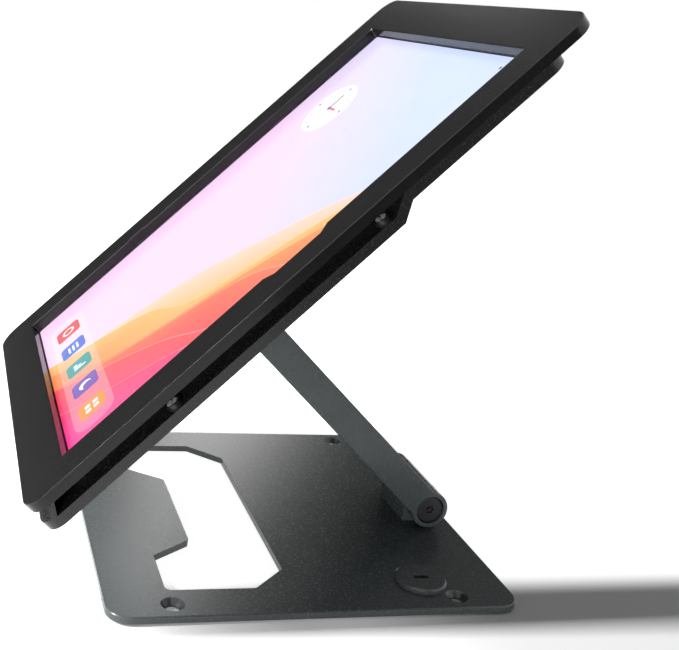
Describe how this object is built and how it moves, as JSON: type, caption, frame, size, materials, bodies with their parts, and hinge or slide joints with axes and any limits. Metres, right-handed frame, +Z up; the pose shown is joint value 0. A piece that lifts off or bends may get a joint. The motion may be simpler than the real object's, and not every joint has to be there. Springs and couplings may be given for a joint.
{
  "type": "tablet security kiosk stand",
  "caption": "Desk stand on a flat base plate with a leaning arm, friction hinges at both ends and a two-plate head that locks a tablet behind a bezel.",
  "frame": {"origin": "middle of the base plate's underside, which is the middle of its four desk holes", "axes": "+X to the right of the person who faces the screen, -Y to the front, +Z up"},
  "size_m": [0.196, 0.2184, 0.2551],
  "materials": {
    "base_paint": "fine-textured powder coat, satin",
    "head_paint": "fine-textured powder coat, matte",
    "dark_screw": "black oxide",
    "bright_screw": "turned, bright",
    "spring_steel": "plain",
    "friction_bronze": "plain bronze",
    "foot_rubber": "matte",
    "tablet_metal": "bead blasted, anodised",
    "tablet_glass": "polished",
    "screen": "lit display",
    "cell_wrap": "film wrapped",
    "circuit_board": "solder mask",
    "dark_plastic": "moulded"
  },
  "bodies": {
    "base": {"base_plate": "base_paint", "rubber_feet": "foot_rubber", "lock_puck": "base_paint", "lock_retainer": "spring_steel", "base_knuckle": "base_paint", "base_knuckle_screws": "dark_screw"},
    "arm": {"arm": "base_paint", "base_hinge_bolt": "dark_screw", "base_hinge_nut": "dark_screw", "base_hinge_washers": "friction_bronze", "head_hinge_bolt": "dark_screw", "head_hinge_nut": "dark_screw", "head_hinge_washers": "friction_bronze"},
    "head": {"head_knuckle": "base_paint", "head_knuckle_screws": "dark_screw", "vesa_plate": "base_paint", "vesa_screws": "dark_screw", "back_cover": "head_paint", "slot_clips": "head_paint", "slot_screws": "bright_screw", "bezel": "head_paint", "bezel_screws": "dark_screw", "bezel_gasket": "foot_rubber", "tablet_pads": "foot_rubber", "tablet_shell": "tablet_metal", "cover_glass": "tablet_glass", "display_panel": "screen", "battery": "cell_wrap", "main_board": "circuit_board", "front_camera": "tablet_glass", "rear_camera": "tablet_glass", "speakers": "dark_plastic", "usb_socket": "spring_steel", "key_switches": "dark_plastic"},
    "power_key": {"power_key": "tablet_metal"},
    "volume_key": {"volume_key": "tablet_metal"}
  },
  "joints": [
    {"name": "base_tilt", "type": "hinge", "parent": "base", "child": "arm", "pos_m": [0, 0.07564, 0.01348], "axis": [1, 0, 0], "range_deg": [-50, 5]},
    {"name": "head_tilt", "type": "hinge", "parent": "arm", "child": "head", "pos_m": [0, -0.03271, 0.11104], "axis": [1, 0, 0], "range_deg": [-45, 18]},
    {"name": "power_press", "type": "slide", "parent": "head", "child": "power_key", "axis": [1, 0, 0], "range_m": [-0.0003, 0], "stiffness_N_per_m": 800, "springref_m": 0.0003},
    {"name": "volume_press", "type": "slide", "parent": "head", "child": "volume_key", "axis": [1, 0, 0], "range_m": [-0.0003, 0], "stiffness_N_per_m": 800, "springref_m": 0.0003}
  ]
}
